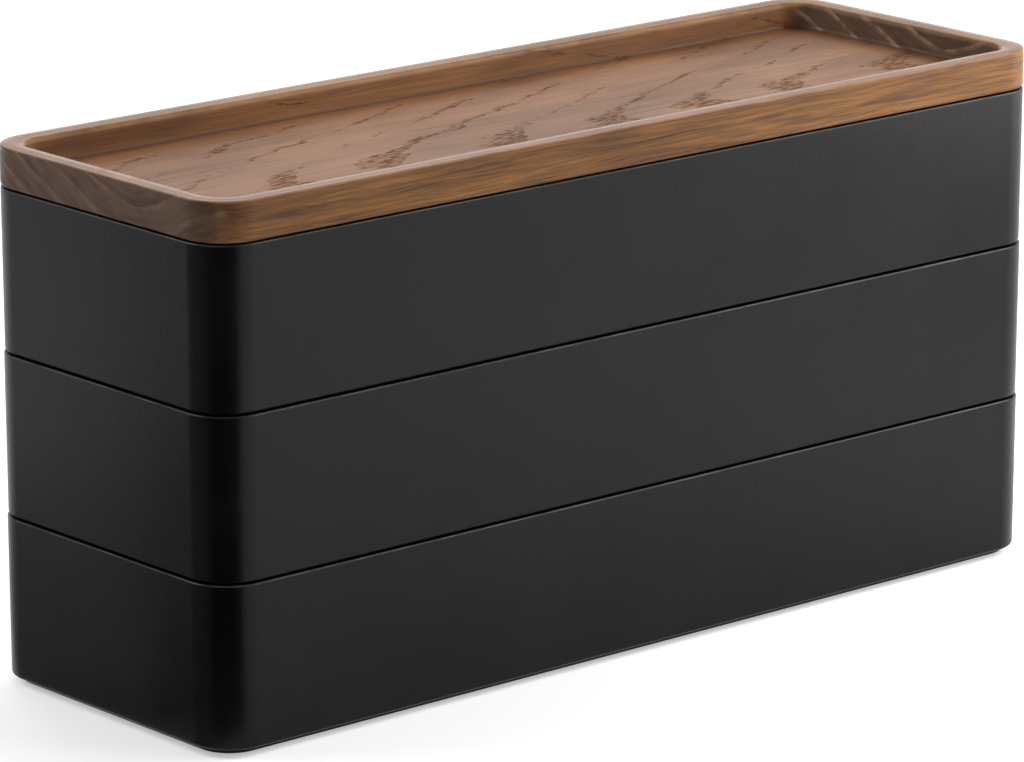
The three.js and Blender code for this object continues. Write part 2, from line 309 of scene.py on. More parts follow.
def moulded_plastic(name, black, bloom):
    """Satin black plastic. Its grain breaks up the gloss, and handled edges are smoother, and paler with
    wear and a painted highlight.
    """
    material, tree, shader = new_material(name)
    grain = place_group(tree, GRAIN, Grain_scale=PLASTIC_GRAIN_SCALE)
    polish_and_highlight = place_group(tree, EDGE_POLISH_AND_HIGHLIGHT, Amount=RUBBED_AND_HIGHLIGHT_SHARE)["Mask"]
    colour = mixed(tree, grain["Patches"], black, bloom)
    # Edges get a paler colour: partly wear, partly a painted highlight
    feed(tree, shader.inputs["Base Color"], mixed(tree, polish_and_highlight, colour, TRAY_POLISH_AND_HIGHLIGHT))
    satin = spread(tree, grain["Patches"], 0.0, 1.0, *PLASTIC_ROUGHNESS)
    feed(tree, shader.inputs["Roughness"], calc(tree, "MULTIPLY_ADD", polish_and_highlight, RUBBED_SMOOTHER, satin))
    shader.inputs["Specular IOR Level"].default_value = PLASTIC_GLOSS
    raise_surface(tree, shader, grain["Height"], PLASTIC_GRAIN_DEPTH)
    return material


def tray_shell(name, node, material):
    low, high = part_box(node)
    length = high.x - low.x
    width = high.y - low.y
    wall_foot = low.z + STEP_HEIGHT
    floor = low.z + TRAY_FLOOR
    rim = high.z - RIM_RADIUS
    inner = TRAY_WALL + WALL_DRAFT
    step_edge = (STEP_INSET + STEP_EDGE_RADIUS, low.z + STEP_EDGE_RADIUS)
    lower_edge = (WALL_DRAFT + LOWER_EDGE_RADIUS, wall_foot + LOWER_EDGE_RADIUS)
    cove = (inner + FLOOR_COVE_RADIUS, floor + FLOOR_COVE_RADIUS)
    stretches = [
        (arc(step_edge, STEP_EDGE_RADIUS, 270, 180, 4), no_wear),
        ([(STEP_INSET, wall_foot)], no_wear),
        (arc(lower_edge, LOWER_EDGE_RADIUS, 270, 180, 6), no_wear),
        (arc((RIM_RADIUS, rim), RIM_RADIUS, 180, 90, 6), edge_wear),
        (arc((TRAY_WALL - RIM_RADIUS, rim), RIM_RADIUS, 90, 0, 6), edge_wear),
        (arc(cove, FLOOR_COVE_RADIUS, 180, 270, 8), no_wear),
    ]
    profile = [point for points, _ in stretches for point in points]
    wear = [share for points, worn in stretches for share in worn(points)]
    rings = [rounded_outline(length - 2 * i, width - 2 * i, CORNER_RADIUS - i, z) for i, z in profile]
    return skinned(name, rings, material, wear)


def cut_pad_sockets(tray, material):
    """Round sockets for the foot pads in the underside."""
    for place_name in PAD_PLACES:
        low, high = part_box("foot_pad_" + place_name)
        radius = (high.x - low.x) / 2 + PAD_SOCKET_GAP
        levels = (low.z - PAD_SOCKET_GAP, high.z + PAD_SOCKET_GAP)
        rings = [circle((low + high) / 2, radius, z, PAD_SIDES) for z in levels]
        cutter = skinned("pad_socket", rings, material)
        socket = tray.modifiers.new("socket", "BOOLEAN")
        socket.object = cutter
        tray.modifiers.move(len(tray.modifiers) - 1, 0)
        bpy.context.view_layer.objects.active = tray
        bpy.ops.object.modifier_apply(modifier=socket.name)
        bpy.data.objects.remove(cutter)


tray_material = moulded_plastic("satin black moulding", TRAY_BLACK, TRAY_BLOOM)
for tier in TRAY_TIERS:
    tray = tray_shell(tier + "_tray_shell", tier + "_tray", tray_material)
    if tier == "lower":
        cut_pad_sockets(tray, tray_material)
    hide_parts(tier + "_tray")
    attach(tray, tier)

# Linings
# One sheet of pressed charcoal felt lies on the floor of each tray. It is cut to the flat part of the
# floor, inside the cove, and its cut edge is soft.
LINING_INSET = 4.72 * MM
LINING_LIFT = 0.05 * MM
FELT_NAP = 0.2 * MM
FELT_EDGE_RADIUS = 0.5 * MM
FELT_GLOSS = 0.2
FELT_SHEEN = 0.25
FELT_SHEEN_ROUGHNESS = 0.6
FELT_ROUGHNESS = (1.0, 0.88)
FELT_FIBRE_SCALE = 1500.0
FELT_FIBRE_DEPTH = 0.25 * MM
FIBRE_TURNS = (8, 67, 128)  # in degrees
FIBRE_STRETCH = (0.16, 1.0, 1.0)
FIBRE_CLUMP_SCALE = 160.0
FELT_DARK = (0.030, 0.030, 0.033, 1)
FELT_LIGHT = (0.085, 0.085, 0.090, 1)


def fibre_mat():
    """Short fibres that lie all ways: three layers of stretched noise, each turned in the plane."""
    inputs = {"Fibre scale": FELT_FIBRE_SCALE}
    group, given, result = new_group("fibre mat", inputs, ("Height", "Tone"))
    place = own_place(group)
    layers = []
    for turn in FIBRE_TURNS:
        turned = add_node(group, "ShaderNodeVectorRotate", {"Vector": place, "Angle": math.radians(turn)})
        along = stretched(group, turned.outputs["Vector"], FIBRE_STRETCH)
        layers.append(noise(group, along, given["Fibre scale"], detail=2.0, roughness=0.55))
    upper = calc(group, "MAXIMUM", calc(group, "MAXIMUM", layers[0], layers[1]), layers[2])
    clumps = noise(group, place, FIBRE_CLUMP_SCALE, detail=3.0, roughness=0.6)
    feed(group, result["Height"], spread(group, upper, 0.4, 0.75))
    tone = calc(group, "MULTIPLY_ADD", clumps, 0.8, calc(group, "MULTIPLY", upper, 1.2))
    feed(group, result["Tone"], spread(group, tone, 0.75, 1.4))
    return group


FIBRES = fibre_mat()


def charcoal_felt():
    material, tree, shader = new_material("charcoal felt")
    fibres = place_group(tree, FIBRES, Fibre_scale=FELT_FIBRE_SCALE)
    feed(tree, shader.inputs["Base Color"], mixed(tree, fibres["Tone"], FELT_DARK, FELT_LIGHT))
    feed(tree, shader.inputs["Roughness"], spread(tree, fibres["Height"], 0.0, 1.0, *FELT_ROUGHNESS))
    shader.inputs["Specular IOR Level"].default_value = FELT_GLOSS
    shader.inputs["Sheen Weight"].default_value = FELT_SHEEN
    shader.inputs["Sheen Roughness"].default_value = FELT_SHEEN_ROUGHNESS
    raise_surface(tree, shader, fibres["Height"], FELT_FIBRE_DEPTH)
    return material


felt = charcoal_felt()
for tier in TRAY_TIERS:
    low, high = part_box(tier + "_lining")
    tray_low, tray_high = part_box(tier + "_tray")
    flat_size = (high.x - low.x, high.y - low.y)
    bottom = tray_low.z + TRAY_FLOOR + LINING_LIFT
    edge_centre = (FELT_EDGE_RADIUS, high.z + FELT_NAP - FELT_EDGE_RADIUS)
    profile = [(0, bottom)] + arc(edge_centre, FELT_EDGE_RADIUS, 180, 90, 6)
    corner = CORNER_RADIUS - LINING_INSET
    rings = [rounded_outline(flat_size[0] - 2 * i, flat_size[1] - 2 * i, corner - i, z) for i, z in profile]
    lining = skinned(tier + "_felt", rings, felt)
    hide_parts(tier + "_lining")
    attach(lining, tier)

# Dividers
# L-shaped black mouldings that part the trays. The flange stands loose on the felt, so each divider
# slides along its tray by hand. The plate's crown is round, and its ends are broken a little.
DIVIDER_THICKNESS = 2 * MM
FLANGE_THICKNESS = 1.4 * MM
FLANGE_EDGE_RADIUS = 0.4 * MM
DIVIDER_INNER_RADIUS = 1.5 * MM
DIVIDER_END_BREAK = 0.35 * MM
END_BREAK_ANGLE = 60  # edges that turn by more degrees than this are broken
DIVIDERS = {"lower": 1, "middle": 3, "upper": 2}
DIVIDER_BLACK = (0.0105, 0.0105, 0.0108, 1)
DIVIDER_BLOOM = (0.0150, 0.0150, 0.0154, 1)


def divider_section(low, high):
    """Outline of the L in the X-Z plane, counter-clockwise seen from the front."""
    crown = DIVIDER_THICKNESS / 2
    inner = DIVIDER_INNER_RADIUS
    edge = FLANGE_EDGE_RADIUS
    flange_top = low.z + FLANGE_THICKNESS
    fillet_centre = (low.x + DIVIDER_THICKNESS + inner, flange_top + inner)
    return [
        *arc((low.x + edge, low.z + edge), edge, 180, 270, 4),
        *arc((high.x - edge, low.z + edge), edge, 270, 360, 4),
        *arc((high.x - edge, flange_top - edge), edge, 0, 90, 4),
        *arc(fillet_centre, inner, 270, 180, 8),
        *arc((low.x + crown, high.z - crown), crown, 0, 180, 12),
    ]


def divider(node, material):
    low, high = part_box(node)
    section = divider_section(low, high)
    rings = [[(x, y, z) for x, z in section] for y in (high.y, low.y)]
    piece = skinned(node + "_plate", rings, material)
    rounding = piece.modifiers.new("broken ends", "BEVEL")
    rounding.width = DIVIDER_END_BREAK
    rounding.segments = 3
    rounding.limit_method = "ANGLE"
    rounding.angle_limit = math.radians(END_BREAK_ANGLE)
    piece.modifiers.move(len(piece.modifiers) - 1, 0)
    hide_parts(node)
    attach(piece, node)


divider_material = moulded_plastic("satin black divider", DIVIDER_BLACK, DIVIDER_BLOOM)
for tier, count in DIVIDERS.items():
    for number in range(1, count + 1):
        divider(f"{tier}_divider_{number}", divider_material)

# Ring rolls
# Six foam rolls with a sewn cover of short-napped grey suede cloth lie side by side across the upper
# tray. Rings stand in the gaps between them. The foam holds the cover out, and the end seams draw it in.
ROLL_FOOT_WIDTH = 11 * MM
ROLL_END_ROUND = 2.4 * MM
ROLL_SLACK = 0.35 * MM
ROLL_SWELL = 0.6 * MM
ROLL_VOXEL = 1.1 * MM
ROLL_COUNT = 6
SECTION_STEPS = 10
SEAM_FROM_END = 2.2 * MM
SEAM_WIDTH = 0.55 * MM
SEAM_DEPTH = 0.3 * MM
COVER_PRESSURE = 4
COVER_FRAMES = 20
SUEDE_GLOSS = 0.25
SUEDE_SHEEN = 0.45
SUEDE_SHEEN_ROUGHNESS = 0.4
SUEDE_ROUGHNESS = (0.95, 0.8)
SUEDE_FIBRE_SCALE = 2600.0
SUEDE_FIBRE_DEPTH = 0.1 * MM
SUEDE_STROKE_SCALE = 90.0
SUEDE_DARK = (0.060, 0.060, 0.064, 1)
SUEDE_LIGHT = (0.135, 0.135, 0.142, 1)


def suede_cloth():
    material, tree, shader = new_material("grey suede cloth")
    fibres = place_group(tree, FIBRES, Fibre_scale=SUEDE_FIBRE_SCALE)
    strokes = noise(tree, own_place(tree), SUEDE_STROKE_SCALE, detail=3.0)
    tone = calc(tree, "MULTIPLY", fibres["Tone"], spread(tree, strokes, 0.35, 0.65, 0.75, 1.0))
    feed(tree, shader.inputs["Base Color"], mixed(tree, tone, SUEDE_DARK, SUEDE_LIGHT))
    feed(tree, shader.inputs["Roughness"], spread(tree, fibres["Height"], 0.0, 1.0, *SUEDE_ROUGHNESS))
    shader.inputs["Specular IOR Level"].default_value = SUEDE_GLOSS
    shader.inputs["Sheen Weight"].default_value = SUEDE_SHEEN
    shader.inputs["Sheen Roughness"].default_value = SUEDE_SHEEN_ROUGHNESS
    raise_surface(tree, shader, fibres["Height"], SUEDE_FIBRE_DEPTH)
    return material


def roll_section(half_width, half_height, drawn_in):
    """Half-round section of a roll about its middle: flat underside, full sides and a round crown."""
    half_foot = ROLL_FOOT_WIDTH / 2
    side = []
    for i in range(SECTION_STEPS + 1):
        t = i / SECTION_STEPS
        x = (1 - t) ** 2 * half_foot + 2 * t * (1 - t) * half_width + t ** 2 * half_width
        side.append((x, (t ** 2 - 1) * half_height))
    crown = []
    for i in range(1, 2 * SECTION_STEPS):
        angle = math.pi * i / (2 * SECTION_STEPS)
        crown.append((half_width * math.cos(angle), half_height * math.sin(angle)))
    points = side + crown + [(-x, z) for x, z in reversed(side)]
    shrink_x = (half_width - drawn_in) / half_width
    shrink_z = (half_height - drawn_in) / half_height
    return [(x * shrink_x, z * shrink_z) for x, z in points]


def roll_blank(size):
    """Closed cover before it is filled, about the roll's middle and a little smaller than the roll."""
    half_width = size.x / 2 - ROLL_SLACK
    half_height = size.z / 2 - ROLL_SLACK
    half_length = size.y / 2 - ROLL_SLACK
    stations = []
    for x, y in arc((0, half_length - ROLL_END_ROUND), ROLL_END_ROUND, 90, 0, 5):
        stations.append((y, ROLL_END_ROUND - x))
    stations += [(-y, drawn_in) for y, drawn_in in reversed(stations)]
    rings = []
    for y, drawn_in in stations:
        rings.append([(x, y, z) for x, z in roll_section(half_width, half_height, drawn_in)])
    return rings


def fill_cover(cover):
    """Fills a cover with a short cloth simulation. No point moves further than the foam swells."""
    scene = bpy.context.scene
    cloth = cover.modifiers.new("cover", "CLOTH")
    cloth.settings.use_pressure = True
    cloth.settings.uniform_pressure_force = COVER_PRESSURE
    cloth.settings.effector_weights.gravity = 0
    for frame_number in range(1, COVER_FRAMES + 1):
        scene.frame_set(frame_number)
    filled = cover.evaluated_get(bpy.context.evaluated_depsgraph_get()).data
    places = [vertex.co.copy() for vertex in filled.vertices]
    cover.modifiers.remove(cloth)
    for vertex, place in zip(cover.data.vertices, places):
        move = place - vertex.co
        if move.length > ROLL_SWELL:
            move *= ROLL_SWELL / move.length
        vertex.co += move
    scene.frame_set(1)


def sew_ends(cover, size):
    """Draws the cover in along the seam near each end."""
    seam_y = size.y / 2 - SEAM_FROM_END
    for vertex in cover.data.vertices:
        reach = (abs(vertex.co.y) - seam_y) / SEAM_WIDTH
        pull = SEAM_DEPTH * math.exp(-reach ** 2)
        inward = Vector((vertex.co.x, 0, vertex.co.z)).normalized()
        vertex.co -= inward * pull


def within(cover, size):
    """Keeps a cover inside the room that its roll has."""
    for vertex in cover.data.vertices:
        for axis in range(3):
            vertex.co[axis] = max(-size[axis] / 2, min(size[axis] / 2, vertex.co[axis]))


suede = suede_cloth()
roll_low, roll_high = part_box("ring_roll_1")
roll_size = roll_high - roll_low
cover = skinned("roll_cover", roll_blank(roll_size), suede)
bpy.context.view_layer.objects.active = cover
cover.modifiers.clear()
cover.data.remesh_voxel_size = ROLL_VOXEL
bpy.ops.object.voxel_remesh()
fill_cover(cover)
sew_ends(cover, roll_size)
within(cover, roll_size)
for number in range(1, ROLL_COUNT + 1):
    low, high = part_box(f"ring_roll_{number}")
    mesh = cover.data.copy()
    # Every second roll lies the other way round
    turned = Matrix.Rotation(math.pi * (number % 2), 4, "Z")
    mesh.transform(Matrix.Translation((low + high) / 2) @ turned)
    mesh.materials.clear()
    roll = finished(f"ring_roll_{number}_cover", mesh, suede)
    finer = roll.modifiers.new("finer", "SUBSURF")
    finer.levels = 1
    finer.render_levels = 1
    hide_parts(f"ring_roll_{number}")
    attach(roll, "upper")
bpy.data.objects.remove(cover)

# Lid
# A shallow tray routed from one board of ring-porous wood, stained walnut and oiled to a low sheen. Its
# grain runs along the length. A rebated plug under it drops into the upper tray.
LID_PLUG_HEIGHT = 3 * MM
LID_RIM = 5.3 * MM
RECESS_DEPTH = 6.2 * MM
RECESS_CORNER_RADIUS = 6.2 * MM
RECESS_WALL_LEAN = 0.4 * MM
RECESS_COVE_RADIUS = 1 * MM
LID_OUTER_EDGE_RADIUS = 0.5 * MM
RIM_CROWN = 0.13 * MM
RIM_CROWN_STEPS = 8
LID_INNER_EDGE_RADIUS = 1.5 * MM
LID_LOWER_EDGE_RADIUS = 0.75 * MM
PLUG_EDGE_RADIUS = 0.6 * MM
WOOD_GLOSS = 0.11
WOOD_ROUGHNESS = (0.46, 0.39)
RIM_ROUGHNESS = 0.17
PORE_ROUGHER = 0.4
PORE_DEPTH = 0.08 * MM
FIBRE_RELIEF = 0.2  # share of a pore's depth
PORE_STAIN = 0.72  # share of the pores' own colour
PORES_PER_MM = (0.36, 2.2, 2.2)  # changes along X, Y and Z, as in the other values per mm
ROW_BREAKS_PER_MM = (0.05, 0.10, 0.10)
CLOUDS_PER_MM = (0.022, 0.07, 0.10)
FIBRES_PER_MM = (0.035, 1.5, 1.5)
PORE_ROW = (0.07, 0.30)  # shares of a ring at which a thin row of pores begins to fade, and ends
PORE_COMB = (0.22, 0.66)  # the same for a comb
COMB_REACH = (2.0, 13.0)  # from the fold, in mm
RING_SPACING = 11.4  # across the board, in mm
RING_START = 0.35  # share of a ring by which they all shift
RING_SWAY = 12.0  # how far the rings sway over a long stretch
SWAYS_PER_MM = (0.010, 0.030, 0.030)
BENDS_PER_MM = (0.045, 0.15, 0.12)
RING_FOLD_Y = -13.0  # where the rings turn back, near the front, in mm
RING_FOLD_RADIUS = 9.0  # in mm
RING_TILT = 1.73  # how fast the rings rise towards the back
RING_TAPER = 0.368  # how fast they run out along the length
BOARD_BENDS = 8.0  # how far the rings waver on the faces along the grain
END_BENDS = 2.0  # the same on the ends
FIBRE_SHARE = 0.26  # of the change between light and mid wood; clouds make up the rest
LATE_SHARE = 0.12  # share of dark wood where a ring ends
PAINTED_COVE_SHADE = 0.75  # share of dark wood painted in the cove as shade, where the recess's walls meet its floor
COVE_HEIGHTS = (0.0, 0.1, 0.4, 1.0)  # above the recess's floor, in mm, for the rise and fall of that shade
RIM_INSIDE = (4.0, 2.0)  # inside the outline, in mm, where the recess ends and the outside begins
RIM_FINISH = (1.4, 0.3)  # below the top, in mm, where the rim's smoother finish begins, and is full
PAINTED_LIGHT_END = (85.0, 120.0)  # along the length, in mm, where painted light begins to make the long sides paler, and where it is fullest
PAINTED_LIGHT_SHARE = 0.6  # how much that painted light adds to the share of light wood
SIDE_SHARE = (0.45, 0.9)  # share of the sides' own colours in the recess, and outside
FINE_STREAKS = 0.66  # shares of the streaks' own colour on the long sides
BROAD_STREAKS = 0.38
FINE_STREAKS_PER_MM = (0.065, 0.5, 2.6)
BROAD_STREAKS_PER_MM = (0.013, 0.05, 0.42)
WAVES_PER_MM = (0.018, 0.05, 0.16)
WAVE_HEIGHT = 4.0  # of the streaks, in mm
END_STREAKS = 0.34  # share of pale wood in the streaks on the ends
PAINTED_LIGHT_INSIDE = 0.4  # share of pale wood painted on the recess's end walls as light, more than on the outside
END_LINE_SHARE = (0.85, 0.16)  # share of the lines' own colour in the recess, and outside
END_LINE_BREAKS_PER_MM = (0.05, 0.25, 0.30)
RIM_PORES = 0.3  # share of the pores that the rim shows
WOOD_RUBBED_AND_HIGHLIGHT = (0.6, 0.2)  # share of polish and painted highlight on edges along the grain, and across it
WOOD_LIGHT = (0.306, 0.143, 0.064, 1)
WOOD_MID = (0.150, 0.063, 0.026, 1)
WOOD_DARK = (0.098, 0.041, 0.019, 1)
WOOD_PORE = (0.088, 0.037, 0.015, 1)
SIDE_LIGHT = (0.330, 0.148, 0.042, 1)
SIDE_MID = (0.172, 0.074, 0.024, 1)
SIDE_STREAK = (0.066, 0.036, 0.024, 1)
END_DARK = (0.079, 0.043, 0.029, 1)
END_PALE = (0.180, 0.111, 0.074, 1)
END_LINE = (0.420, 0.290, 0.210, 1)
# Golden colour of handled edges, partly wear and partly a painted highlight
WOOD_POLISH_AND_HIGHLIGHT = (0.400, 0.205, 0.078, 1)


def mixed_value(tree, share, first, second):
    """A value between two others."""
    return add_node(tree, "ShaderNodeMix", {0: share, 2: first, 3: second}).outputs[0]


def split(tree, place):
    """X, Y and Z of a place or direction."""
    return add_node(tree, "ShaderNodeSeparateXYZ", {0: place}).outputs


def wood_noise(tree, place, per_mm, detail=2.0, roughness=0.5):
    """Soft random value for places in mm, which changes so often along X, Y and Z."""
    return noise(tree, stretched(tree, place, per_mm), 1.0, detail, roughness)


def ring_field(tree, place, bends):
    """Growth rings passed on the way to each place, for places in mm. bends says how far they waver."""
    slow = wood_noise(tree, place, SWAYS_PER_MM, detail=1.0)
    quick_bends = wood_noise(tree, place, BENDS_PER_MM, detail=3.0)
    parts = split(tree, place)
    across = calc(tree, "SUBTRACT", parts["Y"], RING_FOLD_Y)
    squares = calc(tree, "MULTIPLY_ADD", across, across, RING_FOLD_RADIUS ** 2)
    field = calc(tree, "SQRT", squares)
    field = calc(tree, "MULTIPLY_ADD", parts["Z"], -RING_TILT, field)
    field = calc(tree, "MULTIPLY_ADD", parts["X"], -RING_TAPER, field)
    field = calc(tree, "MULTIPLY_ADD", slow, RING_SWAY, field)
    field = calc(tree, "MULTIPLY_ADD", quick_bends, bends, field)
    return calc(tree, "ADD", calc(tree, "DIVIDE", field, RING_SPACING), RING_START)


def band(tree, value, rise, full, fall, end):
    """1 for values between full and fall, with a soft rise before and a soft fall after."""
    return calc(tree, "MULTIPLY", spread(tree, value, rise, full), spread(tree, value, fall, end, 1.0, 0.0))


def open_pores(tree, place, phase, rows):
    """Pores in the first wood of each ring: thin broken rows, and wide combs where the rings turn back."""
    from_fold = calc(tree, "ABSOLUTE", calc(tree, "SUBTRACT", split(tree, place)["Y"], RING_FOLD_Y))
    comb = spread(tree, from_fold, *COMB_REACH, 1.0, 0.0)
    fades, ends = (mixed_value(tree, comb, row, wide) for row, wide in zip(PORE_ROW, PORE_COMB))
    early = band(tree, phase, 0.0, 0.03, fades, ends)
    broken = mixed_value(tree, comb, spread(tree, rows, 0.38, 0.62, 0.52, 0.92), 1.0)
    limit = spread(tree, calc(tree, "MULTIPLY", early, broken), 0.0, 1.0, 0.78, 0.45)
    pore_noise = wood_noise(tree, place, PORES_PER_MM, roughness=0.6)
    return spread(tree, calc(tree, "SUBTRACT", pore_noise, limit), 0.0, 0.09)


def side_streaks(tree, place):
    """Fine short streaks and a few broad ones, which the rings draw on the long sides."""
    waves = calc(tree, "MULTIPLY", wood_noise(tree, place, WAVES_PER_MM), WAVE_HEIGHT)
    lift = add_node(tree, "ShaderNodeCombineXYZ", {"Z": waves}).outputs[0]
    wavy = add_node(tree, "ShaderNodeVectorMath", {0: place, 1: lift}, operation="ADD").outputs["Vector"]
    fine = wood_noise(tree, wavy, FINE_STREAKS_PER_MM, detail=4.0, roughness=0.65)
    broad = wood_noise(tree, wavy, BROAD_STREAKS_PER_MM, detail=1.0)
    fine = calc(tree, "MULTIPLY", spread(tree, fine, 0.40, 0.62), FINE_STREAKS)
    return calc(tree, "MULTIPLY_ADD", spread(tree, broad, 0.46, 0.66), BROAD_STREAKS, fine)


def end_grain_colour(tree, place, beyond_end):
    """Dark cut ends of the fibres, with streaks along the rings and a pale line at each ring."""
    parts = split(tree, place)
    field = ring_field(tree, place, END_BENDS)
    along_ring = calc(tree, "MULTIPLY_ADD", parts["Z"], 0.06, calc(tree, "MULTIPLY", parts["Y"], 0.10))
    across_rings = calc(tree, "MULTIPLY", field, 4.0)
    streak_place = add_node(tree, "ShaderNodeCombineXYZ", {"X": across_rings, "Y": along_ring}).outputs[0]
    streaks = spread(tree, noise(tree, streak_place, 1.0, detail=2.0), 0.30, 0.70)
    # Painted light: the recess's end walls are paler than the outside ends
    painted_light_inside = spread(tree, beyond_end, 0.0, 1.0, PAINTED_LIGHT_INSIDE, 0.0)
    cut = mixed(tree, calc(tree, "MULTIPLY_ADD", streaks, END_STREAKS, painted_light_inside), END_DARK, END_PALE)
    line = band(tree, calc(tree, "FRACT", field), 0.0, 0.06, 0.07, 0.32)
    breaks = wood_noise(tree, place, END_LINE_BREAKS_PER_MM)
    line = calc(tree, "MULTIPLY", line, spread(tree, breaks, 0.35, 0.65, 0.2, 1.0))
    line = calc(tree, "MULTIPLY", line, spread(tree, beyond_end, 0.0, 1.0, *END_LINE_SHARE))
    return mixed(tree, line, cut, END_LINE)


def past_rim(tree, distance, edge):
    """0 in the recess and 1 on the outside, for a distance from the board's middle in mm."""
    return spread(tree, calc(tree, "ABSOLUTE", distance), *(edge - inside for inside in RIM_INSIDE))


def stained_wood(high):
    """Stained wood for a board whose upper corner, at the back right, is at high."""
    material, tree, shader = new_material("walnut-stained wood")
    place = stretched(tree, own_place(tree), (1 / MM, 1 / MM, 1 / MM))
    parts = split(tree, place)
    facing = split(tree, tree.nodes.new("ShaderNodeTexCoord").outputs["Normal"])
    end_grain = spread(tree, calc(tree, "ABSOLUTE", facing["X"]), 0.45, 0.92)
    side_grain = spread(tree, calc(tree, "ABSOLUTE", facing["Y"]), 0.55, 0.90)
    beyond_side = past_rim(tree, parts["Y"], high.y / MM)
    beyond_end = past_rim(tree, parts["X"], high.x / MM)
    in_recess = calc(tree, "SUBTRACT", 1.0, calc(tree, "MAXIMUM", beyond_side, beyond_end))
    top = high.z / MM
    floor = top - RECESS_DEPTH / MM
    rim = spread(tree, parts["Z"], *(top - below for below in RIM_FINISH))
    # Painted shade: dark wood along the cove at the foot of the recess's walls
    cove = band(tree, parts["Z"], *(floor + height for height in COVE_HEIGHTS))
    cove = calc(tree, "MULTIPLY", calc(tree, "MULTIPLY", cove, in_recess), PAINTED_COVE_SHADE)

    phase = calc(tree, "FRACT", ring_field(tree, place, BOARD_BENDS))
    rows = wood_noise(tree, place, ROW_BREAKS_PER_MM)
    row_ends = calc(tree, "MULTIPLY", spread(tree, rows, 0.50, 0.58), in_recess)
    shown = mixed_value(tree, side_grain, 1.0, row_ends)
    shown = calc(tree, "MULTIPLY", shown, spread(tree, rim, 0.0, 1.0, 1.0, RIM_PORES))
    pores = calc(tree, "MULTIPLY", open_pores(tree, place, phase, rows), shown)

    clouds = spread(tree, wood_noise(tree, place, CLOUDS_PER_MM, detail=3.0), 0.30, 0.70)
    fibres = spread(tree, wood_noise(tree, place, FIBRES_PER_MM, detail=3.0, roughness=0.6), 0.30, 0.70)
    tone = mixed_value(tree, FIBRE_SHARE, clouds, fibres)
    late = calc(tree, "MULTIPLY", band(tree, phase, 0.45, 0.96, 0.97, 1.0), LATE_SHARE)
    board = mixed(tree, late, mixed(tree, tone, WOOD_MID, WOOD_LIGHT), WOOD_DARK)

    side_share = spread(tree, beyond_side, 0.0, 1.0, *SIDE_SHARE)
    # Painted light: the long sides grow paler towards the right end
    side_tone_with_painted_light = calc(tree, "ADD", tone, spread(tree, parts["X"], *PAINTED_LIGHT_END, 0.0, PAINTED_LIGHT_SHARE))
    side = mixed(tree, side_share, board, mixed(tree, side_tone_with_painted_light, SIDE_MID, SIDE_LIGHT))
    streaks = calc(tree, "MULTIPLY", side_streaks(tree, place), side_share)
    colour = mixed(tree, side_grain, board, mixed(tree, streaks, side, SIDE_STREAK))
    colour = mixed(tree, cove, colour, WOOD_DARK)
    colour = mixed(tree, calc(tree, "MULTIPLY", pores, PORE_STAIN), colour, WOOD_PORE)
    colour = mixed(tree, end_grain, colour, end_grain_colour(tree, place, beyond_end))
    # Edges get a golden colour: partly wear, partly a painted highlight
    rubbed_and_highlight = spread(tree, end_grain, 0.0, 1.0, *WOOD_RUBBED_AND_HIGHLIGHT)
    polish_and_highlight = place_group(tree, EDGE_POLISH_AND_HIGHLIGHT, Amount=rubbed_and_highlight)["Mask"]
    feed(tree, shader.inputs["Base Color"], mixed(tree, polish_and_highlight, colour, WOOD_POLISH_AND_HIGHLIGHT))

    oiled = mixed_value(tree, rim, spread(tree, fibres, 0.0, 1.0, *WOOD_ROUGHNESS), RIM_ROUGHNESS)
    feed(tree, shader.inputs["Roughness"], calc(tree, "MULTIPLY_ADD", pores, PORE_ROUGHER, oiled))
    shader.inputs["Specular IOR Level"].default_value = WOOD_GLOSS
    relief = calc(tree, "MULTIPLY_ADD", pores, -1.0, calc(tree, "MULTIPLY", fibres, FIBRE_RELIEF))
    raise_surface(tree, shader, relief, PORE_DEPTH, strength=0.7)
    return material


def rim_crown(first, last, corners):
    """Points across the slightly crowned rim between its two rounded edges, each with its corner radius."""
    points = []
    for i in range(1, RIM_CROWN_STEPS):
        share = i / RIM_CROWN_STEPS
        inset = first[0] + (last[0] - first[0]) * share
        rise = RIM_CROWN * (1 - (2 * share - 1) ** 2)
        points.append(((inset, first[1] + rise), corners[0] + (corners[1] - corners[0]) * share))
    return points


